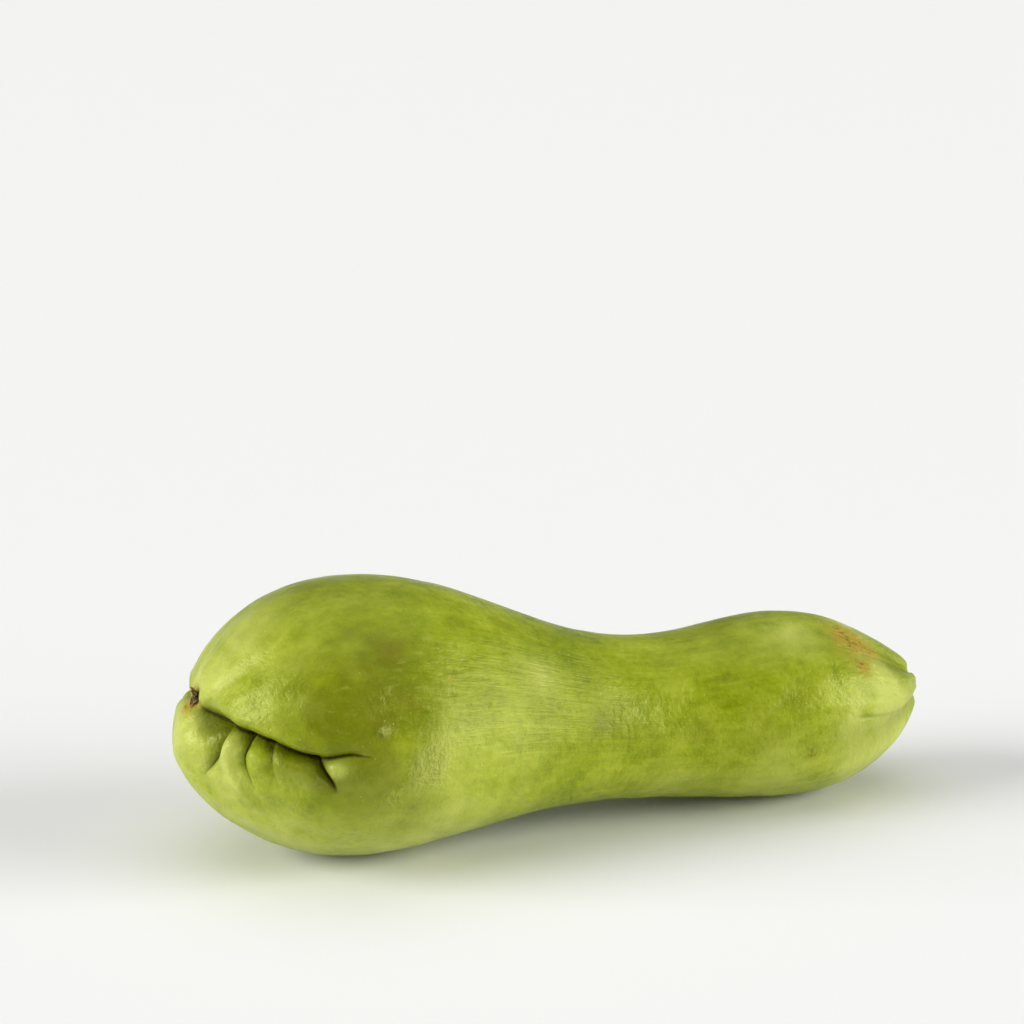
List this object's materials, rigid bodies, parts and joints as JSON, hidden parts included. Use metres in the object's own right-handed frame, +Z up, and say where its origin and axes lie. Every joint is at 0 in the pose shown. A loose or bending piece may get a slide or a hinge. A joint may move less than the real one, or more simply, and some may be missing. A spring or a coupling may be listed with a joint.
{
  "type": "chayote squash",
  "caption": "Long pear-shaped green chayote fruit lying on its side, creased at the wide blossom end, with a dried blossom remnant and a snapped stalk stub.",
  "frame": {"origin": "centre of the bounding box in plan, at the height of the surface that the fruit rests on", "axes": "+X along the fruit from the wide blossom end to the narrow stem end, +Z up, the long mouth crease on the -Y side"},
  "size_m": [0.1868, 0.0718, 0.0642],
  "materials": {
    "fruit_skin": "waxy yellow-green fruit skin, satin, olive in the hollows and pale on the ridges",
    "stem_bark": "dry green-brown stalk, matte and fibrous",
    "dried_blossom": "dried brown flower tissue, matte and papery"
  },
  "bodies": {
    "root": {"fruit": "fruit_skin", "stem_stub": "stem_bark", "blossom_remnant": "dried_blossom"}
  },
  "joints": []
}
